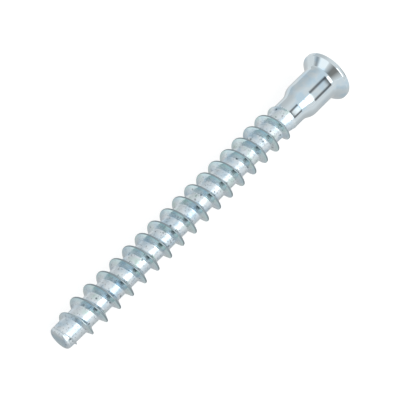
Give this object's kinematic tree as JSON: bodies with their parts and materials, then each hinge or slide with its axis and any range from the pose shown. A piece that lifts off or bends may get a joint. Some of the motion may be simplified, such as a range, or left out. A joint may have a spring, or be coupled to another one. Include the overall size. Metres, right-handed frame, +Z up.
{
  "type": "one piece furniture connector screw",
  "caption": "One-piece furniture connector screw: flat hex-socket head, filleted countersink, plain shank, tapered neck, deep coarse thread and blunt guide tip.",
  "frame": {"origin": "on the ground under the middle of the screw as it lies on its side: the bottom centre of its box", "axes": "+X along the lying screw from the blunt tip to the head, +Z up; the screw's own axis rises 1.53 degrees from tip to head, because it rests on its rim and on the thread crests next to its tip"},
  "size_m": [0.0702, 0.01, 0.01],
  "materials": {
    "zinc_plated_steel": "bright zinc plate with a thin blue passivation over cold-formed steel"
  },
  "bodies": {
    "root": {"screw": "zinc_plated_steel"}
  },
  "joints": []
}
